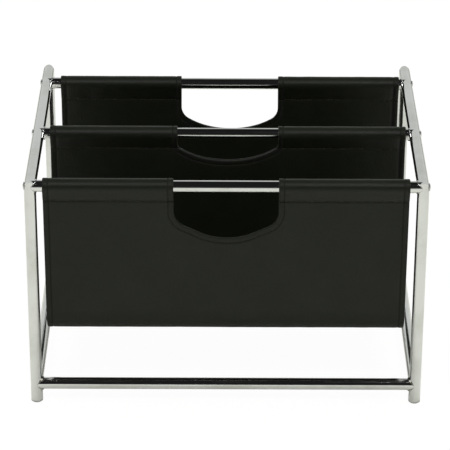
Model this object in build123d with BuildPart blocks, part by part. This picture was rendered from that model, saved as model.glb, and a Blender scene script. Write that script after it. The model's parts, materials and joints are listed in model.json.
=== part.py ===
# Magazine rack: a chromed tube frame that carries a leather sling with two pockets.
# The floor is z = 0, the front faces -Y and the sling hangs between the two side frames.
from build123d import *
from math import radians, tan
import os

os.makedirs("parts", exist_ok=True)

# Overall size, measured over the tubes
width = 400.0
depth = 300.0
height = 250.0

# Chromed steel tube of the legs, rails and bars
tube_diameter = 12.0
tube_wall = 1.2
bottom_rail_height = 20.0  # axis of the bottom rails and bars above the floor
cope_gap = 0.1  # room between a coped end and the tube that it meets

# Places of the sling's bars on the top rails, the first being at the front legs
front_pocket = 126.0  # front bar to middle bar
rear_setback = 31.0  # rear bar to rear legs

# Raised countersunk screws and the threaded inserts that they hold
screw_diameter = 4.0
screw_length = 26.0
screw_clearance = 0.15
head_diameter = 8.4
head_angle = 90.0
head_crown = 1.2
socket_diameter = 2.9
socket_depth = 1.6
insert_length = 16.0
insert_recess = 1.0  # from the throat of a bar's cope to the insert
insert_clearance = 0.05

# Ribbed plastic feet
foot_flange = 2.0
foot_chamfer = 0.6
plug_length = 11.0
plug_clearance = 0.05
fin_count = 3
fin_height = 1.6
fin_depth = 0.5

# Leather sling
leather = 2.2
sling_gap = 6.0  # bare bar between the sling and each side frame
sleeve_clearance = 0.3
seam_drop = 16.0  # bar axis to the seam that closes its sleeve
pocket_depth = 168.5  # bar axis to the underside of the pockets
fold_radius = 24.0  # outside of the fold under a wall
base_flap = 8.0  # flat edge beyond a fold, which the pocket base is sewn to
panel_lean = 2.0  # how far an outer wall leans into its pocket
middle_spread = 9.0  # between the middle panel's two walls at their lower edges

# Hand-holes, measured down from the bar axis
hand_hole_width = 104.0
outer_shoulder = 38.0  # where the sides of the front and rear holes turn in
outer_point = 63.0  # where their slopes would meet
shoulder_radius = 14.0
point_radius = 58.0
middle_shoulder = 15.0  # where the sides of the middle hole meet its arc
middle_hole_depth = 31.5
middle_corner_radius = 4.0

# Places worked out from the sizes above
tube_radius = tube_diameter / 2
bore_radius = tube_radius - tube_wall
cope_radius = tube_radius + cope_gap
leg_x = width / 2 - tube_radius
leg_y = depth / 2 - tube_radius
rail_z = height - tube_radius
front_bar_y = -leg_y
rear_bar_y = leg_y - rear_setback
middle_bar_y = front_bar_y + front_pocket
sling_width = 2 * (leg_x - tube_radius - sling_gap)
sleeve_bore = tube_radius + sleeve_clearance
sleeve_radius = sleeve_bore + leather
hole_top = 2 * sleeve_radius  # a hand-hole is open above its sleeve
seam_z = rail_z - seam_drop
half_ply = leather / 2
base_z = rail_z - pocket_depth + half_ply  # middle of the leather under a pocket
base_inset = fold_radius + base_flap  # wall to the seam of the pocket base
front_wall_y = front_bar_y + panel_lean
rear_wall_y = rear_bar_y - panel_lean
sides = {"left": -1, "right": 1}
ends = {"front": -1, "rear": 1}
top_bars = {"front": front_bar_y, "middle": middle_bar_y, "rear": rear_bar_y}


def mitre(end):
    # Plane of the mitre between a leg and its top rail, facing the rail
    return Plane(origin=(0, end * leg_y, rail_z), x_dir=(1, 0, 0), z_dir=(0, -end, 1))


def leg_blank(side, end, radius):
    # Round bar in the place of a leg, cut at its mitre
    with BuildPart() as blank:
        with BuildSketch(Plane.XY.offset(foot_flange)):
            with Locations((side * leg_x, end * leg_y)):
                Circle(radius)
        extrude(amount=rail_z + radius - foot_flange)
        split(bisect_by=mitre(end), keep=Keep.BOTTOM)
    return blank.part


def top_rail_blank(side, radius):
    # Round bar in the place of a top rail, cut at both mitres
    with BuildPart() as blank:
        with BuildSketch(Plane(origin=(side * leg_x, 0, rail_z), z_dir=(0, 1, 0))):
            Circle(radius)
        extrude(amount=leg_y + radius, both=True)
        for end in ends.values():
            split(bisect_by=mitre(end), keep=Keep.TOP)
    return blank.part


def bottom_rail_blank(side, radius):
    # Round bar in the place of a bottom rail, from leg axis to leg axis
    with BuildPart() as blank:
        with BuildSketch(Plane(origin=(side * leg_x, 0, bottom_rail_height), z_dir=(0, 1, 0))):
            Circle(radius)
        extrude(amount=leg_y, both=True)
    return blank.part


def screw_seat(side, bar_y):
    # Crown of a side frame's tube where a bar's screw goes in, facing outwards
    return Plane(origin=(side * width / 2, bar_y, rail_z), z_dir=(side, 0, 0))


def drill_screw_hole(side, bar_y):
    # Countersunk hole through both walls of a tube
    with Locations(screw_seat(side, bar_y)):
        CounterSinkHole(
            radius=screw_diameter / 2 + screw_clearance,
            counter_sink_radius=head_diameter / 2 + screw_clearance,
            depth=tube_diameter + cope_gap,
            counter_sink_angle=head_angle,
        )


# Side frames: mitred legs and top rails, with coped bottom rails
for side_name, side in sides.items():
    for end_name, end in ends.items():
        with BuildPart() as leg:
            add(leg_blank(side, end, tube_radius))
            add(leg_blank(side, end, bore_radius), mode=Mode.SUBTRACT)
            if end_name == "front":
                drill_screw_hole(side, front_bar_y)
        leg.part.label = f"{side_name}_{end_name}_leg"
        export_step(leg.part, f"parts/{leg.part.label}.step")

    with BuildPart() as top_rail:
        add(top_rail_blank(side, tube_radius))
        add(top_rail_blank(side, bore_radius), mode=Mode.SUBTRACT)
        for bar_y in top_bars.values():
            drill_screw_hole(side, bar_y)
    top_rail.part.label = f"{side_name}_top_rail"
    export_step(top_rail.part, f"parts/{top_rail.part.label}.step")

    with BuildPart() as bottom_rail:
        add(bottom_rail_blank(side, tube_radius))
        add(bottom_rail_blank(side, bore_radius), mode=Mode.SUBTRACT)
        for end in ends.values():
            add(leg_blank(side, end, cope_radius), mode=Mode.SUBTRACT)
    bottom_rail.part.label = f"{side_name}_bottom_rail"
    export_step(bottom_rail.part, f"parts/{bottom_rail.part.label}.step")

# Bottom bars, coped to the legs and to the bottom rails beside them
for end_name, end in ends.items():
    with BuildPart() as bottom_bar:
        with BuildSketch(Plane(origin=(0, end * leg_y, bottom_rail_height), z_dir=(1, 0, 0))):
            Circle(tube_radius)
            Circle(bore_radius, mode=Mode.SUBTRACT)
        extrude(amount=leg_x, both=True)
        for side in sides.values():
            add(leg_blank(side, end, cope_radius), mode=Mode.SUBTRACT)
            add(bottom_rail_blank(side, cope_radius), mode=Mode.SUBTRACT)
    bottom_bar.part.label = f"{end_name}_bottom_bar"
    export_step(bottom_bar.part, f"parts/{bottom_bar.part.label}.step")

# Top bars, coped to the side frames that they are screwed between
for bar_name, bar_y in top_bars.items():
    with BuildPart() as top_bar:
        with BuildSketch(Plane(origin=(0, bar_y, rail_z), z_dir=(1, 0, 0))):
            Circle(tube_radius)
            Circle(bore_radius, mode=Mode.SUBTRACT)
        extrude(amount=leg_x, both=True)
        for side in sides.values():
            add(top_rail_blank(side, cope_radius), mode=Mode.SUBTRACT)
            for end in ends.values():
                add(leg_blank(side, end, cope_radius), mode=Mode.SUBTRACT)
    top_bar.part.label = f"{bar_name}_top_bar"
    export_step(top_bar.part, f"parts/{top_bar.part.label}.step")

# Threaded inserts in the ends of the top bars
with BuildPart() as insert:
    with BuildSketch(Plane.XY.offset(-(tube_diameter + cope_gap + insert_recess))):
        Circle(bore_radius - insert_clearance)
        Circle(screw_diameter / 2 + insert_clearance, mode=Mode.SUBTRACT)
    extrude(amount=-insert_length)

# Screw with a raised countersunk head and a hexagon socket; z = 0 is its head's rim
cone_depth = (head_diameter - screw_diameter) / 2 / tan(radians(head_angle / 2))
with BuildPart() as screw:
    with BuildSketch(Plane.XZ):
        with BuildLine():
            crown = TangentArc((0, head_crown), (head_diameter / 2, 0), tangent=(1, 0))
            Polyline(
                crown @ 1,
                (screw_diameter / 2, -cone_depth),
                (screw_diameter / 2, -screw_length),
                (0, -screw_length),
                crown @ 0,
            )
        make_face()
    revolve(axis=Axis.Z)
    with BuildSketch(Plane.XY.offset(head_crown)):
        RegularPolygon(radius=socket_diameter / 2, side_count=6)
    extrude(amount=-socket_depth, mode=Mode.SUBTRACT)

screw_seats = [screw_seat(side, bar_y) for side in sides.values() for bar_y in top_bars.values()]

with BuildPart() as bar_inserts:
    with Locations(*screw_seats):
        add(insert.part)
bar_inserts.part.label = "bar_inserts"
export_step(bar_inserts.part, "parts/bar_inserts.step")

with BuildPart() as bar_screws:
    with Locations(*screw_seats):
        add(screw.part)
bar_screws.part.label = "bar_screws"
export_step(bar_screws.part, "parts/bar_screws.step")

# Feet: a flange under the tube and a finned plug inside it
plug_radius = bore_radius - plug_clearance
plug_root = plug_radius - fin_depth
plug_top = foot_flange + plug_length
fin_pitch = plug_length / (fin_count + 1)
foot_outline = [
    (0, 0),
    (tube_radius - foot_chamfer, 0),
    (tube_radius, foot_chamfer),
    (tube_radius, foot_flange),
    (plug_root, foot_flange),
]
for fin in range(fin_count):
    fin_z = foot_flange + (fin + 0.5) * fin_pitch
    foot_outline += [(plug_root, fin_z), (plug_radius, fin_z), (plug_root, fin_z + fin_height)]
foot_outline += [(plug_root, plug_top), (0, plug_top)]

with BuildPart() as foot_pattern:
    with BuildSketch(Plane.XZ):
        with BuildLine():
            Polyline(*foot_outline, close=True)
        make_face()
    revolve(axis=Axis.Z)

for side_name, side in sides.items():
    for end_name, end in ends.items():
        with BuildPart() as foot:
            with Locations((side * leg_x, end * leg_y, 0)):
                add(foot_pattern.part)
        foot.part.label = f"{side_name}_{end_name}_foot"
        export_step(foot.part, f"parts/{foot.part.label}.step")


def sleeve_section(bar_y, radius, seam_radius):
    # Drop-shaped section round a bar, closed at the seam below it
    with BuildSketch(Plane.YZ) as section:
        with Locations((bar_y, rail_z)):
            Circle(radius)
        with Locations((bar_y, seam_z)):
            Circle(seam_radius)
        make_hull()
    return section.sketch


def wall_section(top_y, foot_y, inward):
    # One ply of leather from a sleeve's seam down and round the fold under its pocket
    with BuildSketch(Plane.YZ) as section:
        with BuildLine():
            FilletPolyline(
                (top_y, seam_z),
                (foot_y, base_z),
                (foot_y + inward * base_inset, base_z),
                radius=fold_radius - half_ply,
            )
        trace(line_width=leather)
    return section.sketch


def hole_plane(bar_y):
    # Upright plane through a bar's axis, on which its hand-hole is drawn
    return Plane(origin=(0, bar_y, rail_z), x_dir=(1, 0, 0), z_dir=(0, -1, 0))


def outer_hand_hole(bar_y):
    # Hole with straight sides and two slopes that meet in a rounded point
    half = hand_hole_width / 2
    with BuildSketch(hole_plane(bar_y)) as hole:
        with BuildLine():
            Polyline(
                (-half, hole_top),
                (-half, -outer_shoulder),
                (0, -outer_point),
                (half, -outer_shoulder),
                (half, hole_top),
                close=True,
            )
        make_face()
        fillet(hole.vertices().group_by(Axis.Y)[1], radius=shoulder_radius)
        fillet(hole.vertices().group_by(Axis.Y)[0], radius=point_radius)
    return hole.sketch


def middle_hand_hole(bar_y):
    # Shallower hole with straight sides and one wide arc
    half = hand_hole_width / 2
    with BuildSketch(hole_plane(bar_y)) as hole:
        with BuildLine():
            ThreePointArc((-half, -middle_shoulder), (0, -middle_hole_depth), (half, -middle_shoulder))
            Polyline(
                (half, -middle_shoulder),
                (half, hole_top),
                (-half, hole_top),
                (-half, -middle_shoulder),
            )
        make_face()
        fillet(hole.vertices().group_by(Axis.Y)[0], radius=middle_corner_radius)
    return hole.sketch


# Hanging walls of the sling: sleeve, plies with their folds, and hand-hole
half_spread = middle_spread / 2
panels = {
    "front": (front_bar_y, [(front_bar_y, front_wall_y, 1)], outer_hand_hole),
    "middle": (
        middle_bar_y,
        [
            (middle_bar_y - half_ply, middle_bar_y - half_spread, -1),
            (middle_bar_y + half_ply, middle_bar_y + half_spread, 1),
        ],
        middle_hand_hole,
    ),
    "rear": (rear_bar_y, [(rear_bar_y, rear_wall_y, -1)], outer_hand_hole),
}
for panel_name, (bar_y, plies, hand_hole) in panels.items():
    with BuildPart() as panel:
        extrude(sleeve_section(bar_y, sleeve_radius, leather), amount=sling_width / 2, both=True)
        for top_y, foot_y, inward in plies:
            extrude(wall_section(top_y, foot_y, inward), amount=sling_width / 2, both=True)
        extrude(
            sleeve_section(bar_y, sleeve_bore, sleeve_clearance),
            amount=sling_width / 2,
            both=True,
            mode=Mode.SUBTRACT,
        )
        extrude(
            hand_hole(bar_y),
            amount=sleeve_radius + middle_spread,
            both=True,
            mode=Mode.SUBTRACT,
        )
    panel.part.label = f"{panel_name}_panel"
    export_step(panel.part, f"parts/{panel.part.label}.step")

# Pocket bases: flat bottoms sewn between the folds
bases = {
    "front": (front_wall_y, middle_bar_y - half_spread),
    "rear": (middle_bar_y + half_spread, rear_wall_y),
}
for base_name, (front_y, rear_y) in bases.items():
    with BuildPart() as base:
        with Locations((0, (front_y + rear_y) / 2, base_z)):
            Box(sling_width, rear_y - front_y - 2 * base_inset, leather)
    base.part.label = f"{base_name}_pocket_base"
    export_step(base.part, f"parts/{base.part.label}.step")
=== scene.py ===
import json
import math
from bisect import bisect_left

import bmesh
import bpy
from mathutils import Matrix, Vector, noise
from mathutils.bvhtree import BVHTree


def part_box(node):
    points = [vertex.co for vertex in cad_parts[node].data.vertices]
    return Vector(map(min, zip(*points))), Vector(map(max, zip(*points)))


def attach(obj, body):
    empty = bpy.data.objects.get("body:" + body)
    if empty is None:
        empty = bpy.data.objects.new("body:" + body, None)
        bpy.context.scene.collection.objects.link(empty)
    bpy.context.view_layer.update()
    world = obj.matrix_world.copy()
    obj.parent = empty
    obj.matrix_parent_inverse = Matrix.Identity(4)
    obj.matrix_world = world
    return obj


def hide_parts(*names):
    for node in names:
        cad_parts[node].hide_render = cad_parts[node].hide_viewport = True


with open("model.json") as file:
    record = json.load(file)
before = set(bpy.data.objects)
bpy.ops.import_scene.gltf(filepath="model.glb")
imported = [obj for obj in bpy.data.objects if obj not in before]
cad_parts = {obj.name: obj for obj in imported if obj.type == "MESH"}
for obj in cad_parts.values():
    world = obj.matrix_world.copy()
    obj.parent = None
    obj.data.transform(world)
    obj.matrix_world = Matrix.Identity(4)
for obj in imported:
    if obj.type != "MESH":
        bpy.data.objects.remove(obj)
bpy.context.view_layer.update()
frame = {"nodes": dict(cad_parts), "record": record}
nodes = frame["nodes"]
scene = bpy.context.scene
hair = 1e-6                   # metres; what is nearer than this is in the same place
print("frame:", len(nodes), "nodes")


def ramp(value, start, end):
    # 0 at start, 1 at end, and level beyond them
    return max(0.0, min(1.0, (value - start) / (end - start)))


def middleOf(node):
    low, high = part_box(node)
    return (low + high) / 2


def linear(hexColour):
    # sRGB hex to the linear values that shaders take
    parts = [int(hexColour[i:i + 2], 16) / 255 for i in (0, 2, 4)]
    return [p / 12.92 if p <= 0.04045 else ((p + 0.055) / 1.055) ** 2.4 for p in parts] + [1.0]


def addNode(tree, kind, settings, sockets):
    # settings are the node's own; a socket takes a value, or the output of another node
    node = tree.nodes.new(kind)
    for name, value in settings.items():
        setattr(node, name, value)
    for name, value in sockets.items():
        if isinstance(value, bpy.types.NodeSocket):
            tree.links.new(value, node.inputs[name])
        else:
            node.inputs[name].default_value = value
    return node


def startMaterial(name):
    material = bpy.data.materials.new(name)
    material.use_nodes = True
    material.node_tree.nodes.clear()
    return material, material.node_tree


# Finishes: pattern sizes are in millimetres, on coordinates in metres.

# a Mix node's sockets go by number, because its kinds share their names
mixShare = 0
colourA, colourB, colourOut = 6, 7, 2
numberA, numberB, numberOut = 2, 3, 0

# one band of a wave texture at scale 1, straight across an axis or slanted to all three
straightBand, slantedBand = math.pi / 10, math.pi / 5 / math.sqrt(3)

# Steel tube, polished and bright chromium plated: a cold mirror with hard dark bands, a faint haze
# where hands have wiped it, and the slow ripple that a polishing wheel leaves.
plateLook = {
    "plate": "d0d1d0",
    "hazed": "c2c3c0",
    "wipe": 45,               # across a wiped place
    "ripple": 16,
    "rippleHeight": 0.010,
    "clean": 0.05,            # roughness
    "wiped": 0.10,
}
# The same plate on a screw, tumbled and not polished: satin, paler, with smaller patches.
screwLook = {
    **plateLook,
    "plate": "e6e7e6",
    "hazed": "d9dad7",
    "wipe": 9,
    "ripple": 5,
    "clean": 0.40,
    "wiped": 0.52,
}


def chromePlate(name, look):
    material, tree = startMaterial(name)
    place = addNode(tree, "ShaderNodeTexCoord", {}, {}).outputs["Object"]
    wipe = addNode(tree, "ShaderNodeTexNoise", {}, {
        "Vector": place, "Scale": 1000 / look["wipe"], "Detail": 4.0, "Roughness": 0.6}).outputs["Fac"]
    haze = addNode(tree, "ShaderNodeMapRange", {"interpolation_type": "SMOOTHSTEP"}, {
        "Value": wipe, "From Min": 0.42, "From Max": 0.72}).outputs["Result"]
    colour = addNode(tree, "ShaderNodeMix", {"data_type": "RGBA"}, {
        mixShare: haze, colourA: linear(look["plate"]), colourB: linear(look["hazed"])}).outputs[colourOut]
    gloss = addNode(tree, "ShaderNodeMapRange", {}, {
        "Value": haze, "To Min": look["clean"], "To Max": look["wiped"]}).outputs["Result"]
    ripple = addNode(tree, "ShaderNodeTexNoise", {}, {
        "Vector": place, "Scale": 1000 / look["ripple"], "Detail": 1.0}).outputs["Fac"]
    bump = addNode(tree, "ShaderNodeBump", {}, {
        "Height": ripple, "Distance": look["rippleHeight"] / 1000}).outputs["Normal"]
    shader = addNode(tree, "ShaderNodeBsdfPrincipled", {}, {
        "Base Color": colour, "Metallic": 1.0, "Roughness": gloss, "Normal": bump})
    addNode(tree, "ShaderNodeOutputMaterial", {}, {"Surface": shader.outputs["BSDF"]})
    return material


# Cowhide, drum dyed black, pressed with a fine grain and glazed: close pebbles that show only where
# light grazes them, a low uneven gloss, and greyer places where it has been handled.
hideLook = {
    "dye": "12150d",
    "handled": "161911",
    "mottle": 42,             # across a handled place
    "grain": 1.7,             # a pebble; real ones are half as wide, too fine to show here
    "pebble": 0.09,           # its height
    "pore": 5.5,              # a cluster of pebbles
    "gloss": 0.38,            # roughness on the pebbles
    "dull": 0.52,             # and between them
    "specular": 0.25,         # pores and pigment swallow half of the plain gloss
    "rubbedAndShaded": "0f110c",       # darker: a little wear on the hems, painted shade in the stitch grooves and folds
    "rubbedDull": 0.85,
}


def grainedHide(name, look):
    material, tree = startMaterial(name)
    cut = addNode(tree, "ShaderNodeUVMap", {"uv_map": "flatCut"}, {}).outputs["UV"]
    mottle = addNode(tree, "ShaderNodeTexNoise", {}, {
        "Vector": cut, "Scale": 1000 / look["mottle"], "Detail": 5.0, "Roughness": 0.62}).outputs["Fac"]
    handled = addNode(tree, "ShaderNodeMapRange", {"interpolation_type": "SMOOTHSTEP"}, {
        "Value": mottle, "From Min": 0.35, "From Max": 0.75}).outputs["Result"]
    dyed = addNode(tree, "ShaderNodeMix", {"data_type": "RGBA"}, {
        mixShare: handled, colourA: linear(look["dye"]), colourB: linear(look["handled"])}).outputs[colourOut]
    # the hem mask: wear on the hems, painted shade in the stitch grooves and low on the walls at the folds
    hem = addNode(tree, "ShaderNodeAttribute", {"attribute_name": "hem"}, {}).outputs["Fac"]
    colour = addNode(tree, "ShaderNodeMix", {"data_type": "RGBA"}, {
        mixShare: hem, colourA: dyed, colourB: linear(look["rubbedAndShaded"])}).outputs[colourOut]
    pebbles = addNode(tree, "ShaderNodeTexVoronoi", {"voronoi_dimensions": "2D", "feature": "SMOOTH_F1"}, {
        "Vector": cut, "Scale": 1000 / look["grain"], "Smoothness": 0.35}).outputs["Distance"]
    pores = addNode(tree, "ShaderNodeTexNoise", {"noise_dimensions": "2D"}, {
        "Vector": cut, "Scale": 1000 / look["pore"], "Detail": 2.0}).outputs["Fac"]
    relief = addNode(tree, "ShaderNodeMath", {"operation": "SUBTRACT"}, {
        0: pores, 1: pebbles}).outputs["Value"]
    glazed = addNode(tree, "ShaderNodeMapRange", {}, {
        "Value": relief, "From Min": -0.4, "From Max": 0.5,
        "To Min": look["dull"], "To Max": look["gloss"]}).outputs["Result"]
    gloss = addNode(tree, "ShaderNodeMix", {"data_type": "FLOAT"}, {
        mixShare: hem, numberA: glazed, numberB: look["rubbedDull"]}).outputs[numberOut]
    bump = addNode(tree, "ShaderNodeBump", {}, {
        "Height": relief, "Distance": look["pebble"] / 1000}).outputs["Normal"]
    shader = addNode(tree, "ShaderNodeBsdfPrincipled", {}, {
        "Base Color": colour, "Roughness": gloss, "IOR": 1.45, "Specular IOR Level": look["specular"],
        "Normal": bump})
    addNode(tree, "ShaderNodeOutputMaterial", {}, {"Surface": shader.outputs["BSDF"]})
    return material


# Bonded polyester sewing thread, spun black: a little greyer than the hide, dry, and paler and darker
# by turns as its plies twist.
threadLook = {
    "dark": "2a2b24",
    "pale": "3a3b33",
    "twist": 5.8,             # from dark to dark, drawn coarser than the real 0.3
    "twistHeight": 0.08,
    "roughness": 0.7,
    "specular": 0.06,         # the fibres scatter nearly all of the plain gloss
    "sheen": 0.04,
}


def bondedThread(name, look):
    material, tree = startMaterial(name)
    place = addNode(tree, "ShaderNodeTexCoord", {}, {}).outputs["Object"]
    plies = addNode(tree, "ShaderNodeTexWave", {"bands_direction": "DIAGONAL"}, {
        "Vector": place, "Scale": 1000 * slantedBand / look["twist"], "Distortion": 1.5}).outputs["Fac"]
    colour = addNode(tree, "ShaderNodeMix", {"data_type": "RGBA"}, {
        mixShare: plies, colourA: linear(look["dark"]), colourB: linear(look["pale"])}).outputs[colourOut]
    bump = addNode(tree, "ShaderNodeBump", {}, {
        "Height": plies, "Distance": look["twistHeight"] / 1000}).outputs["Normal"]
    shader = addNode(tree, "ShaderNodeBsdfPrincipled", {}, {
        "Base Color": colour, "Roughness": look["roughness"], "IOR": 1.57,
        "Specular IOR Level": look["specular"], "Sheen Weight": look["sheen"], "Normal": bump})
    addNode(tree, "ShaderNodeOutputMaterial", {}, {"Surface": shader.outputs["BSDF"]})
    return material


# Polyethylene, injection moulded: a waxy pale grey with the fine spark texture of its mould, and
# scuffed darker where it slides on a floor.
plugLook = {
    "grey": "b4b5b1",
    "scuffed": "8d8d88",
    "spark": 0.6,             # mould texture, drawn coarser than the real 0.1
    "sparkHeight": 0.02,
    "scuff": 7,               # height of the scuffed band above the floor
    "scuffing": 0.9,          # how far it is scuffed at the floor
    "smooth": 0.38,           # roughness
    "rough": 0.55,
}


def mouldedPlug(name, look):
    material, tree = startMaterial(name)
    place = addNode(tree, "ShaderNodeTexCoord", {}, {}).outputs["Object"]
    height = addNode(tree, "ShaderNodeSeparateXYZ", {}, {"Vector": place}).outputs["Z"]
    spark = addNode(tree, "ShaderNodeTexNoise", {}, {
        "Vector": place, "Scale": 1000 / look["spark"], "Detail": 2.0}).outputs["Fac"]
    low = addNode(tree, "ShaderNodeMapRange", {"interpolation_type": "SMOOTHSTEP"}, {
        "Value": height, "From Min": 0.0, "From Max": look["scuff"] / 1000,
        "To Min": look["scuffing"], "To Max": 0.0}).outputs["Result"]
    scuff = addNode(tree, "ShaderNodeMath", {"operation": "MULTIPLY"}, {0: low, 1: spark}).outputs["Value"]
    colour = addNode(tree, "ShaderNodeMix", {"data_type": "RGBA"}, {
        mixShare: scuff, colourA: linear(look["grey"]), colourB: linear(look["scuffed"])}).outputs[colourOut]
    gloss = addNode(tree, "ShaderNodeMapRange", {}, {
        "Value": spark, "To Min": look["smooth"], "To Max": look["rough"]}).outputs["Result"]
    bump = addNode(tree, "ShaderNodeBump", {}, {
        "Height": spark, "Distance": look["sparkHeight"] / 1000}).outputs["Normal"]
    shader = addNode(tree, "ShaderNodeBsdfPrincipled", {}, {
        "Base Color": colour, "Roughness": gloss, "IOR": 1.51, "Normal": bump})
    addNode(tree, "ShaderNodeOutputMaterial", {}, {"Surface": shader.outputs["BSDF"]})
    return material


# Turned steel, zinc plated: a dull blue-grey with turning rings round each insert and duller stains.
zincLook = {
    "zinc": "a3a6a8",
    "stained": "8b8c8a",
    "ring": 3.14,             # between turning marks, drawn coarser than the real 0.15
    "ringHeight": 0.012,
    "stain": 6,               # across a stained place
    "clean": 0.28,            # roughness
    "dull": 0.45,
}


def turnedZinc(name, look):
    material, tree = startMaterial(name)
    place = addNode(tree, "ShaderNodeTexCoord", {}, {}).outputs["Object"]
    rings = addNode(tree, "ShaderNodeTexWave", {"bands_direction": "X"}, {
        "Vector": place, "Scale": 1000 * straightBand / look["ring"], "Distortion": 0.4}).outputs["Fac"]
    stain = addNode(tree, "ShaderNodeTexNoise", {}, {
        "Vector": place, "Scale": 1000 / look["stain"], "Detail": 4.0}).outputs["Fac"]
    colour = addNode(tree, "ShaderNodeMix", {"data_type": "RGBA"}, {
        mixShare: stain, colourA: linear(look["zinc"]), colourB: linear(look["stained"])}).outputs[colourOut]
    gloss = addNode(tree, "ShaderNodeMapRange", {}, {
        "Value": stain, "To Min": look["clean"], "To Max": look["dull"]}).outputs["Result"]
    bump = addNode(tree, "ShaderNodeBump", {}, {
        "Height": rings, "Distance": look["ringHeight"] / 1000}).outputs["Normal"]
    shader = addNode(tree, "ShaderNodeBsdfPrincipled", {}, {
        "Base Color": colour, "Metallic": 1.0, "Roughness": gloss, "Normal": bump})
    addNode(tree, "ShaderNodeOutputMaterial", {}, {"Surface": shader.outputs["BSDF"]})
    return material


chrome = chromePlate("chromedTube", plateLook)
hide = grainedHide("grainedCowhide", hideLook)
thread = bondedThread("bondedThread", threadLook)
finishes = {
    "chromed_tube": chrome,
    "chromed_screw": chromePlate("chromedScrew", screwLook),
    "black_leather": hide,
    "foot_plastic": mouldedPlug("mouldedPolyethylene", plugLook),
    "insert_steel": turnedZinc("zincPlatedSteel", zincLook),
}
for part in frame["record"]["subparts"]:
    mesh = nodes[part["node"]].data
    mesh.materials.clear()
    mesh.materials.append(finishes[part["material_slot"]])


# The sling: strips of hide that hang from the three bars.

sling = {
    "leather": 0.0022,        # one thickness
    "fold": 0.024,            # outside radius under each pocket
    "foldSteps": 14,
    "flap": 0.008,            # flat part past the fold, where a base is sewn on
    "lean": 0.002,            # how far in the outer walls stand at their feet
    "spread": 0.009,          # between the middle walls at their feet
    "snug": 0.00042,          # how much closer it lies round its bar than the solid does
    "barSteps": 28,
    "turnedIn": 0.006,        # end of the hide below the seam, behind the bar
    "tucked": 0.45,           # how close that end lies to the wall, against one ply at the seam
    "hem": 0.0056,            # a side edge to its row of stitches
    "dent": 0.0011,           # half width of the groove that a row pulls
    "round": 0.0012,          # how far in an edge is rounded
    "grid": 0.0032,           # step of the mesh
    "apart": 0.35,            # share of a step that its lines keep from the close ones at edges
}
# each panel has slid a little along its bar, and was cut a little wider or narrower; the seam that
# closes its sleeve lies a little higher or lower under the bar's axis, and the sleeve puffs out over it
hung = {
    "front": {"shift": -0.0005, "wider": -0.0016, "seamDrop": 0.0149, "puff": 0.0008},
    "middle": {"shift": 0.0013, "wider": 0.0024, "seamDrop": 0.0155, "puff": 0.0002},
    "rear": {"shift": 0.0035, "wider": 0.0003, "seamDrop": 0.0176, "puff": 0.0002},
}

bars = {name: middleOf(name + "_top_bar") for name in hung}
panelLow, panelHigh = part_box("front_panel")
for name, panel in hung.items():
    panel["half"] = panelHigh.x + panel["wider"] / 2
    panel["seamZ"] = bars[name].z - panel["seamDrop"]
plyGap = sling["leather"] / 2                                            # each ply off the middle of its seam
plyZ = panelLow.z + sling["leather"] / 2                                 # middle of the hide under a pocket
foldMid = sling["fold"] - sling["leather"] / 2
sleeveMid = panelHigh.z - bars["front"].z - sling["leather"] / 2 - sling["snug"]


def startStrip(half, y, z):
    # the first corner of a strip; its points carry the length along it, and its mask of wear and painted
    # shade
    bm = bmesh.new()
    bm.verts.layers.float.new("run")
    bm.verts.layers.float.new("hem")
    return bm, bm.verts.new((-half, y, z))


def straightRun(bm, vert, toY, toZ):
    # the hide goes on in a straight line, a grid step at a time
    way = Vector((vert.co.x, toY, toZ)) - vert.co
    steps = max(1, round(way.length / sling["grid"]))
    for _ in range(steps):
        vert = bmesh.ops.extrude_vert_indiv(bm, verts=[vert])["verts"][0]
        bmesh.ops.translate(bm, verts=[vert], vec=way / steps)
    return vert


def bendRun(bm, vert, centreY, centreZ, angle, steps):
    # and round a fold or a bar, about a line along X
    bent = bmesh.ops.spin(bm, geom=[vert], cent=(vert.co.x, centreY, centreZ), axis=(1, 0, 0),
                          angle=angle, steps=steps)
    return next(item for item in bent["geom_last"] if isinstance(item, bmesh.types.BMVert))


def wallUp(bm, vert, footY, seamY, seamZ):
    # from a flap's end, round the fold and up to the seam
    side = math.copysign(1, footY - vert.co.y)
    foldY = footY - side * foldMid
    vert = straightRun(bm, vert, foldY, plyZ)
    vert = bendRun(bm, vert, foldY, plyZ + foldMid, side * math.pi / 2, sling["foldSteps"])
    return straightRun(bm, vert, seamY, seamZ)


def overBar(bm, vert, bar, seamZ):
    # from the seam up to the sleeve before the bar, over the bar, and down to the seam behind it
    drop = bar.z - seamZ
    lift = math.acos(sleeveMid / math.hypot(plyGap, drop)) - math.atan2(drop, plyGap)
    vert = straightRun(bm, vert, bar.y - sleeveMid * math.cos(lift), bar.z + sleeveMid * math.sin(lift))
    vert = bendRun(bm, vert, bar.y, bar.z, 2 * lift - math.pi, sling["barSteps"])
    return straightRun(bm, vert, bar.y + plyGap, seamZ)


def wallDown(bm, vert, footY, flapY):
    # from the seam down, round the fold and out to the flap's end
    side = math.copysign(1, flapY - footY)
    vert = straightRun(bm, vert, footY, plyZ + foldMid)
    vert = bendRun(bm, vert, footY + side * foldMid, plyZ + foldMid, side * math.pi / 2, sling["foldSteps"])
    straightRun(bm, vert, flapY, plyZ)


def drawLine(name):
    # a panel's section, from edge to edge, as one chain of vertices that goes up before its bar
    bar, seamZ = bars[name], hung[name]["seamZ"]
    lean, spread = sling["lean"], sling["spread"] / 2
    footY = bar.y + {"front": lean, "middle": -spread, "rear": -lean}[name]
    past = sling["fold"] + sling["flap"]
    pocket = 1 if name == "front" else -1                                # the pocket is behind the front wall
    bm, vert = startStrip(hung[name]["half"], footY + pocket * past, plyZ)
    vert = wallUp(bm, vert, footY, bar.y - plyGap, seamZ)
    vert = overBar(bm, vert, bar, seamZ)
    if name == "middle":
        wallDown(bm, vert, bar.y + spread, bar.y + spread + past)
    else:
        straightRun(bm, vert, bar.y + plyGap * sling["tucked"], seamZ - sling["turnedIn"])
    return bm


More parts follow.
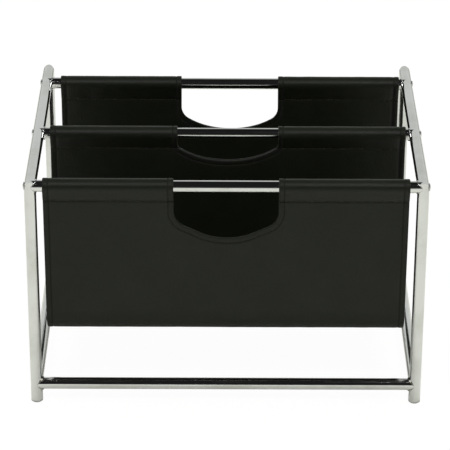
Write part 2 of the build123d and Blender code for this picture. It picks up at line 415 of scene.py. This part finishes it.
def measureLine(bm):
    # length along the strip, kept on its vertices for the flat cut
    layer = bm.verts.layers.float["run"]
    line, last = [], None
    for vert in bm.verts:
        vert[layer] = line[-1][0] + (vert.co - last).length if line else 0.0
        last = vert.co.copy()
        line.append((vert[layer], last))
    return line


def hang(strip, x, run):
    # where a point of the flat cut hangs, the way on along the strip, and the way out of it
    line = strip["line"]
    step = min(max(1, bisect_left(strip["runs"], run)), len(line) - 1)
    (runA, a), (runB, b) = line[step - 1], line[step]
    on = (b - a).normalized()
    co = a.lerp(b, (run - runA) / (runB - runA))
    return Vector((x + strip["shift"], co.y, co.z)), on, Vector((0, -on.z, on.y))


def linesBeside(hem):
    # mesh lines beside an edge: its rounding, and the groove of its stitches
    return [k * sling["round"] for k in (0.2, 0.5, 1)] + [hem + k * sling["dent"] for k in (-1, 0, 1)]


def stationsAcross(half, holeHem):
    # places across the width: a plain grid, with closer lines along the side hems and the hand-hole
    sideLines, holeLines = linesBeside(sling["hem"]), linesBeside(holeHem)
    fine = [half - d for d in [0.0] + sideLines] + [holeHalf + d for d in [0.0] + holeLines]
    fine += [holeHalf - sling["grid"] / 2]
    count = round(half / sling["grid"])
    plain = [half * i / count for i in range(count)]
    plain = [x for x in plain if min(abs(x - f) for f in fine) > sling["apart"] * sling["grid"]
             and not half - sideLines[-1] < x and not holeHalf < x < holeHalf + holeLines[-1]]
    right = sorted(set(fine + plain))
    return [-x for x in reversed(right) if x > 0] + right


def widen(bm, half, holeHem):
    # the section is drawn out sideways, station by station
    places = stationsAcross(half, holeHem)
    edges = bm.edges[:]
    for x, nextX in zip(places, places[1:]):
        grown = bmesh.ops.extrude_edge_only(bm, edges=edges)["geom"]
        edges = [item for item in grown if isinstance(item, bmesh.types.BMEdge)
                 and abs(item.verts[0].co.x - item.verts[1].co.x) < hair and len(item.link_faces) == 1]
        verts = [item for item in grown if isinstance(item, bmesh.types.BMVert)]
        bmesh.ops.translate(bm, verts=verts, vec=(nextX - x, 0, 0))


def layFlat(bm):
    # the flat cut is the UV map: across the width, and along the strip
    layer = bm.verts.layers.float["run"]
    cut = bm.loops.layers.uv.new("flatCut")
    for face in bm.faces:
        for loop in face.loops:
            loop[cut].uv = (loop.vert.co.x, loop.vert[layer])


# Hand-holes: depths below the bar's axis, radii, and the way from the edge to the stitches. Each was cut
# by hand, and differs a little.

holeHalf = 0.052              # half the width of each
holeTop = 0.03                # above the bar's axis and its sleeve
handHoles = {
    "front": {"shoulder": 0.0383, "point": 0.0631, "shoulderTurn": 0.0165, "pointTurn": 0.0556,
              "hem": 0.0056, "tilt": 0.0007},
    "middle": {"shoulder": 0.015, "depth": 0.0293, "shoulderTurn": 0.007,
               "hem": 0.0048, "tilt": 0.0},
    "rear": {"shoulder": 0.0359, "point": 0.0684, "shoulderTurn": 0.0138, "pointTurn": 0.0840,
             "hem": 0.0056, "tilt": 0.0007},
}


def outlineOfHole(name):
    # a few corners round the bar, of which the lower ones are then rounded
    hole, top = handHoles[name], bars[name].z
    shoulder, turn, tilt = hole["shoulder"], hole["shoulderTurn"], hole["tilt"]
    if name == "middle":
        slope = 2 * math.atan2(hole["depth"] - shoulder, holeHalf)       # of the wide arc at its ends
        point = shoulder + holeHalf * math.tan(slope)
        pointCut = holeHalf / math.cos(slope) - turn
    else:
        point = hole["point"]
        slope = math.atan2(point - shoulder, holeHalf)
        pointCut = hole["pointTurn"] * math.tan(slope)
    corners = [(-holeHalf, holeTop), (-holeHalf, tilt - shoulder), (0, -point),
               (holeHalf, -tilt - shoulder), (holeHalf, holeTop)]
    bm = bmesh.new()
    verts = [bm.verts.new((x, 0, top + z)) for x, z in corners]
    bm.faces.new(verts)
    bmesh.ops.bevel(bm, geom=[verts[2]], offset=pointCut, offset_type="OFFSET", segments=14, profile=0.5,
                    affect="VERTICES", material=-1)
    shoulders = [v for v in bm.verts if abs(abs(v.co.x) - holeHalf) < hair and v.co.z < top]
    shoulderCut = turn * math.tan((math.pi / 2 - slope) / 2)
    bmesh.ops.bevel(bm, geom=shoulders, offset=shoulderCut, offset_type="OFFSET", segments=6, profile=0.5,
                    affect="VERTICES", material=-1)
    bm.faces.ensure_lookup_table()
    points = [loop.vert.co.copy() for loop in bm.faces[0].loops]
    bm.free()
    # in order down the left side, round, and up the right
    start = min(range(len(points)), key=lambda i: (points[i].x > 0, -points[i].z))
    points = points[start:] + points[:start]
    return points if points[1].x < 0 else [points[0]] + points[:0:-1]


def sidesOf(outline):
    # each side of the outline with the direction that points out of the hole
    sides = []
    for a, b in zip(outline, outline[1:]):
        out = Vector((b.z - a.z, 0, a.x - b.x)).normalized()
        sides.append((a, b, out))
    return sides


def offHole(sides, co):
    return max((co - a).dot(out) for a, _, out in sides)


def nearestSide(sides, face):
    co = face.calc_center_median()
    return max(range(len(sides)), key=lambda k: (co - sides[k][0]).dot(sides[k][2]))


def cutPlane(bm, faces, place, normal):
    # a mesh line through some of the faces; gives what they then are
    geom = list({item for face in faces for item in (face, *face.edges, *face.verts)})
    return bmesh.ops.bisect_plane(bm, geom=geom, dist=hair, plane_co=place, plane_no=normal)["geom"]


def cutSeamLines(bm, seamZ):
    # lines for the groove of the sleeve's seam, before the bar and behind it
    for lift in (-1.1, -0.55, 0, 0.55, 1.1):
        faces = [f for f in bm.faces if abs(f.calc_center_median().z - seamZ) < 2 * sling["grid"]]
        cutPlane(bm, faces, (0, 0, seamZ + lift * sling["dent"]), (0, 0, 1))


def cutHandHole(bm, sides, lowest, hem):
    # lines are cut beside the hole's edge where its stitches and its rounding go, then the inside comes out
    lines = linesBeside(hem)
    reach = lines[-1] + sling["grid"]
    groups = [set() for _ in sides]
    for face in bm.faces:
        co = face.calc_center_median()
        if co.z > lowest - reach and abs(co.x) < holeHalf + reach:
            groups[nearestSide(sides, face)].add(face)
    for inset in [0.0] + lines:
        for k, (a, _, out) in enumerate(sides):
            if abs(out.z) < hair:
                continue                             # the upright sides are stations already
            near = groups[k - 1] | groups[k] | groups[k + 1]
            faces = [f for f in near if abs((f.calc_center_median() - a).dot(out) - inset) < sling["grid"]]
            for item in cutPlane(bm, faces, a + out * inset, out):
                if isinstance(item, bmesh.types.BMFace):
                    groups[nearestSide(sides, item)].add(item)
    inside = [f for f in bm.faces if f.calc_center_median().z > lowest - reach
              and offHole(sides, f.calc_center_median()) < 0]
    bmesh.ops.delete(bm, geom=inside, context="FACES")
    loose = [v for v in bm.verts if not v.link_faces]
    bmesh.ops.delete(bm, geom=loose, context="VERTS")


# Thickness against one leather, and how far the hide is worn dull or darkened by painted shade.
plies = {
    "hem": 1.12,              # turned in
    "plain": 0.96,
    "edge": 0.35,             # at the very edge, where it is rounded
    "groove": 0.62,           # under a row of stitches
    "grooveReach": 1.15,      # half width of that, against the dent's
    "bar": 0.86,              # stretched over the bar
    "barRise": (0.3, 1.3),    # where the stretch sets in and is full; the seam is 0, the bar's axis 1
    "skived": 0.25,           # at the end that is turned in behind the bar
}
wearAndShade = {
    "hem": 0.14,
    # painted shade, dark and dull, low on each wall where it turns into its fold
    "fold": 0.32,
    "foldRise": (1.2, 0.7),   # where the fold's painted shade sets in and is full, against the fold's radius
}


def plyShare(fromEdge, hem, fromSeam):
    edge = ramp(fromEdge, 0, sling["round"])
    share = plies["hem"] if fromEdge < hem else plies["plain"]
    share *= plies["edge"] + (1 - plies["edge"]) * math.sqrt(1 - (1 - edge) ** 2)
    for off in (fromEdge - hem, fromSeam):
        share *= 1 - (1 - plies["groove"]) * ramp(abs(off), plies["grooveReach"] * sling["dent"], 0)
    return share


def hemWearAndGrooveShade(fromEdge, hem):
    # a little wear on a hem; full painted shade in the groove of its stitches
    groove = ramp(abs(fromEdge - hem), sling["dent"], 0)
    return max(groove, wearAndShade["hem"] if fromEdge < hem else 0.0)


def newPiece(bm, name, material):
    mesh = bpy.data.meshes.new(name)
    bm.to_mesh(mesh)
    bm.free()
    mesh.materials.append(material)
    mesh.shade_smooth()
    piece = bpy.data.objects.new(name, mesh)
    scene.collection.objects.link(piece)
    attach(piece, "root")
    return piece


def finishHide(bm, name, node):
    # the sheet gets its thickness, and stands for its solid
    piece = newPiece(bm, name, hide)
    piece.vertex_groups.new(name="share")
    wall = piece.modifiers.new("thickness", "SOLIDIFY")
    wall.thickness = sling["leather"] * plies["hem"]
    wall.offset = 0
    wall.vertex_group = "share"
    wall.use_quality_normals = True
    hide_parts(node)
    return piece


# The walls sway a little, the hide puckers along the seams and over the bars, and the sleeves puff out.
waves = {
    "sway": 0.0007,
    "swayCount": (11, 8),     # waves in a metre, across and along
    "swayFrom": 0.03,         # below the seam
    "pucker": 0.00022,
    "puckerCount": (75, 45),
    "puckerSeed": 20,
    "puckerPlain": 0.6,       # away from a seam, against what a seam adds
    "puckerReach": 0.02,      # to either side of a seam
    "puckerOut": 0.5,         # on the sleeve they mostly stand out
    "puffRise": 0.625,        # where a sleeve's puff ends; the seam is 0, the bar's axis 1
    "puffSkew": 0.6,          # under 1, it is fullest low down
}


def waveAt(count, x, run, seed):
    across, along = count
    return noise.noise(Vector((x * across, run * along, seed)))


def shapePanel(bm, strip, seed):
    # thickness, wear, painted shade and waves, point by point
    name, half, seamZ, sides = (strip[key] for key in ("name", "half", "seamZ", "sides"))
    holeHem = handHoles[name]["hem"]
    holeReach = strip["lowest"] - 3 * holeHem                            # the hole's hem reaches no lower
    shares = bm.verts.layers.deform.verify()
    runs, shadeAndWear = (bm.verts.layers.float[key] for key in ("run", "hem"))
    for vert in bm.verts:
        co, run = vert.co.copy(), vert[runs]
        height = (co.z - plyZ) / sling["fold"]                           # 1 at the top of a fold
        rise = (co.z - seamZ) / hung[name]["seamDrop"]                   # 1 at the bar's axis
        fromSeam = min((run - seam for seam in strip["seams"]), key=abs)
        fromEdge, hem = half - abs(co.x), sling["hem"]
        # a little wear on hems; painted shade in the stitch grooves and low on each wall, over its fold
        wornAndShaded = max(hemWearAndGrooveShade(fromEdge, hem), wearAndShade["fold"] * ramp(height, *wearAndShade["foldRise"]))
        if co.z > holeReach:
            fromHole = max(0.0, offHole(sides, co))
            wornAndShaded = max(wornAndShaded, hemWearAndGrooveShade(fromHole, holeHem))
            if fromHole < fromEdge:
                fromEdge, hem = fromHole, holeHem
        vert[shadeAndWear] = wornAndShaded
        share = plyShare(fromEdge, hem, fromSeam) / plies["hem"]
        share *= 1 - (1 - plies["bar"]) * ramp(rise, *plies["barRise"])
        if name != "middle":
            share *= min(1.0, plies["skived"] + (strip["length"] - run) / sling["turnedIn"])
        vert[shares][0] = min(1.0, share)

        onWall = ramp(co.z, seamZ, seamZ - waves["swayFrom"]) * ramp(height, 0, 1)
        move = waves["sway"] * onWall * waveAt(waves["swayCount"], co.x, run, seed)
        pucker = waveAt(waves["puckerCount"], co.x, run, seed + waves["puckerSeed"])
        pucker += waves["puckerOut"] if rise > 0 else 0
        pucker *= waves["puckerPlain"] + ramp(abs(fromSeam), waves["puckerReach"], 0)
        move += waves["pucker"] * pucker
        if 0 < rise < waves["puffRise"]:
            move += hung[name]["puff"] * math.sin(math.pi * (rise / waves["puffRise"]) ** waves["puffSkew"])
        _, _, out = hang(strip, co.x, run)
        vert.co += out * move


def makePanel(name, seed):
    bm = drawLine(name)
    line = measureLine(bm)
    half, seamZ, shift = (hung[name][key] for key in ("half", "seamZ", "shift"))
    hem, outline = handHoles[name]["hem"], outlineOfHole(name)
    strip = {
        "name": name,
        "half": half,
        "shift": shift,
        "line": line,
        "runs": [run for run, _ in line],
        "length": line[-1][0],
        "seamZ": seamZ,
        "seams": [run for run, co in line if abs(co.z - seamZ) < 10 * hair],
        "sides": sidesOf(outline),
        "lowest": min(p.z for p in outline),
    }
    widen(bm, half, hem)
    cutSeamLines(bm, seamZ)
    cutHandHole(bm, strip["sides"], strip["lowest"], hem)
    layFlat(bm)
    strip["area"] = sum(f.calc_area() for f in bm.faces)
    shapePanel(bm, strip, seed)
    bmesh.ops.translate(bm, verts=bm.verts[:], vec=(shift, 0, 0))
    strip["piece"] = finishHide(bm, "hide_" + name + "_panel", name + "_panel")
    return strip


strips = {name: makePanel(name, seed) for seed, name in enumerate(hung)}
print("panels:", {name: len(strip["piece"].data.polygons) for name, strip in strips.items()})


# Pocket bottoms, lapped on the flaps of the folds.

base = {
    "inset": 0.0008,          # its side edges stand in from the panels'
    "lap": 0.0072,
    "lapRise": 1.06,          # how far above the flap's middle its own lies there, in leathers
    "step": 0.004,            # length of the bend from the lap down to the base
    "cutEnd": 0.3,            # share of the rounding that its cut ends lack
    "sag": 0.0014,
    "uneven": 0.5,            # share of the sag that comes and goes
    "sagCount": (10, 12),     # waves in a metre, across and along
    "sagSeed": 40,
    "sagShift": 50,           # the waves of two bases differ by this for each metre between them
}


def makeBase(name, before, behind):
    low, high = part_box(name + "_pocket_base")
    startY, endY = low.y - base["lap"], high.y + base["lap"]
    onFlap = plyZ + sling["leather"] * base["lapRise"]
    half = high.x - base["inset"]
    shift = (hung[before]["shift"] + hung[behind]["shift"]) / 2
    bm, vert = startStrip(half, startY, onFlap)
    straightRun(bm, vert, endY, onFlap)
    line = measureLine(bm)
    length = line[-1][0]
    widen(bm, half, sling["hem"])
    # lines for the laps' bends and stitches
    for y, inward in ((low.y, 1), (high.y, -1)):
        for k in (-0.5, 0, 0.5, 1, 1.5):
            cutPlane(bm, bm.faces, (0, y + inward * k * base["step"], 0), (0, 1, 0))
    layFlat(bm)
    shares = bm.verts.layers.deform.verify()
    runs, shadeAndWear = (bm.verts.layers.float[key] for key in ("run", "hem"))
    for vert in bm.verts:
        x, run = vert.co.x, vert[runs]
        fromSide, fromEnd = half - abs(x), min(run, length - run)
        fromEdge = min(fromSide, fromEnd + base["cutEnd"] * sling["round"])
        share = plyShare(fromEdge, sling["hem"], fromEnd - base["lap"] / 2)
        vert[shares][0] = min(1.0, share / plies["hem"])
        # a little wear on the side hems, painted shade in their stitch grooves
        vert[shadeAndWear] = hemWearAndGrooveShade(fromSide, sling["hem"])
        down = ramp(fromEnd, base["lap"], base["lap"] + base["step"])
        middle = 1 - (2 * run / length - 1) ** 2                         # 1 half way along, 0 at the ends
        wave = waveAt(base["sagCount"], x, run, base["sagSeed"] + base["sagShift"] * startY)
        vert.co.z -= (onFlap - plyZ) * (3 - 2 * down) * down ** 2
        vert.co.z -= down * base["sag"] * middle * (1 + base["uneven"] * wave)
    bmesh.ops.translate(bm, verts=bm.verts[:], vec=(shift, 0, 0))
    return {
        "name": name,
        "half": half,
        "shift": shift,
        "line": line,
        "runs": [run for run, _ in line],
        "length": length,
        "rests": [strips[before]["piece"], strips[behind]["piece"]],
        "piece": finishHide(bm, "hide_" + name + "_base", name + "_pocket_base"),
    }


bases = {"front": makeBase("front", "front", "middle"), "rear": makeBase("rear", "middle", "rear")}
print("bases:", {name: len(strip["piece"].data.polygons) for name, strip in bases.items()})


# Stitches, seated on the finished hide. Rows are paths in the flat cut.

sewing = {
    "pitch": 0.0036,
    "stitch": 0.0028,         # what shows of each one
    "width": 0.0011,
    "height": 0.0009,
    "seat": 0.00018,          # how far its middle stands off the hide
    "hemSeat": -0.00036,      # on a hem it is pulled into the hide
    "short": 0.002,           # how far a row stops before the strip's end
    "reach": 0.006,           # how far from the strip's middle its skin is looked for
}


def makeStitch():
    # one stitch is a small bead of thread, drawn long
    bm = bmesh.new()
    bmesh.ops.create_uvsphere(bm, u_segments=6, v_segments=5, radius=0.5)
    bmesh.ops.rotate(bm, verts=bm.verts[:], cent=(0, 0, 0), matrix=Matrix.Rotation(math.pi / 2, 3, "Y"))
    bmesh.ops.scale(bm, verts=bm.verts[:], vec=(sewing["stitch"], sewing["width"], sewing["height"]))
    mesh = bpy.data.meshes.new("stitch")
    bm.to_mesh(mesh)
    bm.free()
    return mesh


stitchMesh = makeStitch()


def sewRow(bm, skin, strip, path, face, seat):
    lengths = [(b - a).length for a, b in zip(path, path[1:])]
    count = int(sum(lengths) / sewing["pitch"])
    sewn, step, begun = 0, 0, 0.0
    for i in range(count):
        along = (i + 0.5) * sum(lengths) / count
        while step < len(lengths) - 1 and along > begun + lengths[step]:
            begun += lengths[step]
            step += 1
        a, b = path[step], path[step + 1]
        flat = a.lerp(b, (along - begun) / lengths[step])
        co, on, out = hang(strip, flat.x, flat.y)
        out = out * face
        onSkin, _, _, _ = skin.ray_cast(co + out * sewing["reach"], -out, 2 * sewing["reach"])
        if onSkin is None:
            continue
        way = ((b - a).x * Vector((1, 0, 0)) + (b - a).y * on).normalized()
        turn = Matrix((way, out.cross(way), out)).transposed().to_4x4()
        one = stitchMesh.copy()
        one.transform(Matrix.Translation(onSkin + out * seat) @ turn)
        bm.from_mesh(one)
        bpy.data.meshes.remove(one)
        sewn += 1
    return sewn


def sewStrip(strip, rows):
    # each row is a path, the face that shows it (1 outside the strip, -1 inside) and its stitches' seat
    skin = BVHTree.FromObject(strip["piece"], bpy.context.evaluated_depsgraph_get())
    bm = bmesh.new()
    sewn = sum(sewRow(bm, skin, strip, *row) for row in rows)
    stitches = newPiece(bm, strip["piece"].name + "_stitches", thread)
    print(stitches.name, sewn, "stitches")
    return stitches


def borderOfHole(strip):
    # the hole's edge moved out by a hem, laid flat: it runs on over the sleeve on both sides
    hem, sides = handHoles[strip["name"]]["hem"], strip["sides"]
    moved = []
    for (_, _, outA), (b, _, outB) in zip(sides, sides[1:]):
        mitre = (outA + outB).normalized()
        moved.append(b + mitre * hem / mitre.dot(outB))
    (before, behind), seamZ = strip["seams"], strip["seamZ"]
    lower = [Vector((p.x, before - (seamZ - p.z))) for p in moved]
    if strip["name"] == "middle":
        upper = [Vector((p.x, behind + (seamZ - p.z))) for p in moved]
        return lower + upper[::-1] + [lower[0]]
    end = strip["length"] - sling["round"]
    return [Vector((lower[0].x, end))] + lower + [Vector((lower[-1].x, end))]


def rowsOfPanel(strip):
    hemX = strip["half"] - sling["hem"]
    holeX = holeHalf + handHoles[strip["name"]]["hem"]
    start, end = sewing["short"], strip["length"] - sewing["short"]
    seat, hemSeat = sewing["seat"], sewing["hemSeat"]
    before, behind = strip["seams"]
    border = borderOfHole(strip)
    rows = []
    for x in (-hemX, hemX):
        rows.append(([Vector((x, start)), Vector((x, end))], 1, hemSeat))
        rows.append(([Vector((x, start)), Vector((x, before))], -1, hemSeat))
        if strip["name"] == "middle":
            rows.append(([Vector((x, behind)), Vector((x, end))], -1, hemSeat))
    rows.append((border, 1, hemSeat))
    if strip["name"] != "middle":
        rows.append((border[1:-1], -1, hemSeat))
    for seam in (before, behind):
        for side in (-1, 1):
            rows.append(([Vector((side * hemX, seam)), Vector((side * holeX, seam))], 1, seat))
    return rows


def rowsOfBase(strip):
    hemX = strip["half"] - sling["hem"]
    start, end = sewing["short"], strip["length"] - sewing["short"]
    rows = []
    for run in (base["lap"] / 2, strip["length"] - base["lap"] / 2):
        rows.append(([Vector((-hemX, run)), Vector((hemX, run))], 1, sewing["seat"]))
    for x in (-hemX, hemX):
        for face in (1, -1):
            rows.append(([Vector((x, start)), Vector((x, end))], face, sewing["hemSeat"]))
    return rows


for name, strip in strips.items():
    stitches = sewStrip(strip, rowsOfPanel(strip))
for strip in bases.values():
    stitches = sewStrip(strip, rowsOfBase(strip))


# Small beads where tubes meet: welds low down, and the rolled lips of the bars at the top rails.

welds = {
    "radius": 0.0014,
    "seat": 0.0001,           # how far its middle stands off the tube
    "thin": 0.15,             # what is left of it where the two tubes run flush
    "sunk": 0.5,              # how far its thin places sink into the tube, in radii
    "clear": 0.35,            # how far its thick ones stand off the other tube, in radii
    "rhythm": 0.00008,        # the torch's swelling and thinning
    "swellings": 26,          # round a tube
}
lips = {**welds, "radius": 0.0008, "rhythm": 0.0}
# Weld metal under the plate, not polished: a lumpy, duller mirror, brownish in its hollows.
weldLook = {
    **plateLook,
    "plate": "a8a69d",
    "hazed": "625d52",
    "wipe": 2.5,
    "ripple": 1.6,
    "rippleHeight": 0.12,
    "clean": 0.16,
    "wiped": 0.38,
}


def beadRound(bm, look, end, inward, tubeRadius):
    # a small ring round a tube, thin at the sides, pulled along it so that it follows the saddle of the joint
    up = Vector((0, 0, 1))
    across = up.cross(inward)
    coreRadius = tubeRadius + look["seat"]
    ring = bmesh.ops.create_circle(bm, cap_ends=False, segments=10, radius=look["radius"])["verts"]
    section = list({item for v in ring for item in (v, *v.link_edges)})
    turn = Matrix((inward, up, across)).transposed().to_4x4()
    bmesh.ops.transform(bm, verts=ring, matrix=Matrix.Translation(end + up * coreRadius) @ turn)
    bmesh.ops.spin(bm, geom=section, cent=end, axis=inward, angle=2 * math.pi, steps=48, use_merge=True)
    bmesh.ops.remove_doubles(bm, verts=bm.verts[:], dist=10 * hair)
    bmesh.ops.recalc_face_normals(bm, faces=bm.faces[:])
    for vert in bm.verts:
        off = vert.co - end
        angle = math.atan2(off.dot(across), off.z)
        upright = abs(math.cos(angle))               # 1 above and below the tube, 0 at its sides
        away = up * math.cos(angle) + across * math.sin(angle)
        core = end + away * coreRadius
        share = look["thin"] + (1 - look["thin"]) * upright
        vert.co = core + (vert.co - core) * share - away * look["radius"] * look["sunk"] * (1 - share)
        vert.co += inward * (tubeRadius * upright + look["radius"] * look["clear"] * share)
        vert.co += away * look["rhythm"] * math.sin(look["swellings"] * angle)


def makeBeads(pieceName, look, finish, tubes, carriers):
    # one bead at each end of each tube, against the nearest tube that carries it
    bm = bmesh.new()
    carrierAxes = [middleOf(name) for name in carriers]
    for name in tubes:
        low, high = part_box(name)
        middle, size = (low + high) / 2, high - low
        along = Vector((1, 0, 0)) if size.x > size.y else Vector((0, 1, 0))
        for sign in (-1, 1):
            tip = middle + sign * along * max(size) / 2
            axis = min(carrierAxes, key=lambda c: (c - tip).xy.length)
            end = Vector((axis.x, middle.y, middle.z)) if along.x else Vector((middle.x, axis.y, middle.z))
            one = bmesh.new()
            beadRound(one, look, end, -sign * along, size.z / 2)
            mesh = bpy.data.meshes.new("bead")
            one.to_mesh(mesh)
            one.free()
            bm.from_mesh(mesh)
            bpy.data.meshes.remove(mesh)
    piece = newPiece(bm, pieceName, finish)


legs = [side + "_" + place + "_leg" for side in ("left", "right") for place in ("front", "rear")]
lowTubes = ["left_bottom_rail", "right_bottom_rail", "front_bottom_bar", "rear_bottom_bar"]
makeBeads("weld_beads", welds, chromePlate("platedWeld", weldLook), lowTubes, legs)
makeBeads("bar_lips", lips, chrome, [name + "_top_bar" for name in bars], ["left_top_rail", "right_top_rail"])
print("weld beads and bar lips done")


# Floor, light and camera.

studio = {
    "floor": "f2f3ea",
    "floorSize": 7.0,
    "floorGap": 0.0004,       # it lies a hair below the feet
    "bounce": "fcfdf4",       # the floor as the chrome sees it
    "white": "ffffff",        # and as the camera sees it
    "strength": 1.02,
    "shown": 0.95,            # how far the camera sees plain white, while the rest shows the shadow
    "mirrored": 0.12,         # and the same for what the chrome mirrors
    "backdrop": "e5e7e4",     # as the chrome mirrors it
    "wall": "d8dadc",         # and the light that it gives
    "behind": (0.56, 0.88),   # it begins and is full where a direction goes back by this much
    "screens": "b4b6b8",      # pale screens far to the left and right
    "beside": (0.50, 0.80),   # and these, where it goes sideways by this much
    "dark": 0.015,            # the unlit side of the studio
    "glow": 0.06,
    "glowTop": 0.38,          # the glow lies low, and ends where a direction rises by this much
    "key": 31.0,              # watts
    "fill": 14.5,
    "aim": (0, 0, 0.1),       # where the softboxes point
}


def paintedFloor(name, look):
    # matt white paint, which the camera sees nearly as plain white and the chrome as a lit floor
    material, tree = startMaterial(name)
    rays = addNode(tree, "ShaderNodeLightPath", {}, {}).outputs
    seen = addNode(tree, "ShaderNodeMath", {"operation": "MAXIMUM"}, {
        0: rays["Is Camera Ray"], 1: rays["Is Transmission Ray"]}).outputs["Value"]
    mirrored = addNode(tree, "ShaderNodeMath", {"operation": "MULTIPLY"}, {
        0: rays["Is Glossy Ray"], 1: look["mirrored"]}).outputs["Value"]
    share = addNode(tree, "ShaderNodeMath", {"operation": "MULTIPLY_ADD"}, {
        0: seen, 1: look["shown"], 2: mirrored}).outputs["Value"]
    white = addNode(tree, "ShaderNodeMix", {"data_type": "RGBA"}, {
        mixShare: seen, colourA: linear(look["bounce"]), colourB: linear(look["white"])}).outputs[colourOut]
    paint = addNode(tree, "ShaderNodeBsdfDiffuse", {}, {"Color": linear(look["floor"])}).outputs["BSDF"]
    lit = addNode(tree, "ShaderNodeEmission", {}, {
        "Color": white, "Strength": look["strength"]}).outputs["Emission"]
    surface = addNode(tree, "ShaderNodeMixShader", {}, {0: share, 1: paint, 2: lit}).outputs["Shader"]
    addNode(tree, "ShaderNodeOutputMaterial", {}, {"Surface": surface})
    return material


def makeFloor():
    bm = bmesh.new()
    bmesh.ops.create_circle(bm, cap_ends=True, segments=64, radius=studio["floorSize"])
    bmesh.ops.translate(bm, verts=bm.verts[:], vec=(0, 0, -studio["floorGap"]))
    mesh = bpy.data.meshes.new("studioFloor")
    bm.to_mesh(mesh)
    bm.free()
    mesh.materials.append(paintedFloor("paintedFloor", studio))
    floor = bpy.data.objects.new("studioFloor", mesh)
    scene.collection.objects.link(floor)


def makeRoom(look):
    # a white backdrop behind the rack, pale screens at its sides and an unlit room in front, with a low glow
    world = bpy.data.worlds.new("studio")
    world.use_nodes = True
    tree = world.node_tree
    tree.nodes.clear()
    rays = addNode(tree, "ShaderNodeLightPath", {}, {}).outputs
    seen = addNode(tree, "ShaderNodeMath", {"operation": "MAXIMUM"}, {
        0: rays["Is Camera Ray"], 1: rays["Is Transmission Ray"]}).outputs["Value"]
    way = addNode(tree, "ShaderNodeTexCoord", {}, {}).outputs["Generated"]
    axes = addNode(tree, "ShaderNodeSeparateXYZ", {}, {"Vector": way}).outputs
    sideways = addNode(tree, "ShaderNodeMath", {"operation": "ABSOLUTE"}, {0: axes["X"]}).outputs["Value"]
    behind = addNode(tree, "ShaderNodeMapRange", {"interpolation_type": "SMOOTHSTEP"}, {
        "Value": axes["Y"], "From Min": look["behind"][0], "From Max": look["behind"][1]}).outputs["Result"]
    beside = addNode(tree, "ShaderNodeMapRange", {"interpolation_type": "SMOOTHSTEP"}, {
        "Value": sideways, "From Min": look["beside"][0], "From Max": look["beside"][1]}).outputs["Result"]
    glow = addNode(tree, "ShaderNodeMapRange", {"interpolation_type": "SMOOTHSTEP"}, {
        "Value": axes["Z"], "From Min": look["glowTop"], "From Max": 0.0,
        "To Min": look["dark"], "To Max": look["glow"]}).outputs["Result"]
    backdrop = addNode(tree, "ShaderNodeMix", {"data_type": "RGBA"}, {
        mixShare: rays["Is Glossy Ray"], colourA: linear(look["wall"]),
        colourB: linear(look["backdrop"])}).outputs[colourOut]
    front = addNode(tree, "ShaderNodeMix", {"data_type": "RGBA"}, {
        mixShare: beside, colourA: glow, colourB: linear(look["screens"])}).outputs[colourOut]
    room = addNode(tree, "ShaderNodeMix", {"data_type": "RGBA"}, {
        mixShare: behind, colourA: front, colourB: backdrop}).outputs[colourOut]
    shown = addNode(tree, "ShaderNodeMix", {"data_type": "RGBA"}, {
        mixShare: seen, colourA: room, colourB: linear(look["white"])}).outputs[colourOut]
    sky = addNode(tree, "ShaderNodeBackground", {}, {"Color": shown, "Strength": 1.0}).outputs["Background"]
    addNode(tree, "ShaderNodeOutputWorld", {}, {"Surface": sky})
    scene.world = world


makeFloor()
makeRoom(studio)

# one large softbox above and behind, and two small ones in front, to the sides
softboxes = {
    "keySoftbox": {"place": (0, 0.35, 2.0), "size": (1.6, 1.2), "power": studio["key"], "mirrored": False},
    "leftSoftbox": {"place": (-0.76, -1.30, 1.96), "size": (0.6, 0.6), "power": studio["fill"],
                    "mirrored": True},
    "rightSoftbox": {"place": (0.76, -1.30, 1.96), "size": (0.6, 0.6), "power": studio["fill"],
                     "mirrored": True},
}
for name, box in softboxes.items():
    lamp = bpy.data.objects.new(name, bpy.data.lights.new(name, "AREA"))
    lamp.data.shape = "RECTANGLE"
    lamp.data.size, lamp.data.size_y = box["size"]
    lamp.data.energy = box["power"]
    lamp.location = box["place"]
    lamp.rotation_mode = "QUATERNION"
    lamp.rotation_quaternion = (Vector(studio["aim"]) - lamp.location).to_track_quat("-Z", "Y")
    lamp.visible_glossy = box["mirrored"]
    lamp.visible_camera = False
    scene.collection.objects.link(lamp)

view = {
    "lens": 195.28,
    "frame": 36,              # millimetres, as the lens
    "place": (-0.0049, -2.3133, 1.2827),
    "turn": 0.09,             # degrees
    "down": 26.49,
    "roll": 0.25,
}
camera = bpy.data.objects.new("camera", bpy.data.cameras.new("camera"))
camera.data.lens = view["lens"]
camera.data.sensor_width = view["frame"]
camera.matrix_world = (Matrix.Translation(view["place"])
                       @ Matrix.Rotation(-math.radians(view["turn"]), 4, "Z")
                       @ Matrix.Rotation(math.radians(90 - view["down"]), 4, "X")
                       @ Matrix.Rotation(math.radians(view["roll"]), 4, "Z"))
scene.collection.objects.link(camera)
scene.camera = camera
scene.view_settings.view_transform = "Standard"
print("studio done")
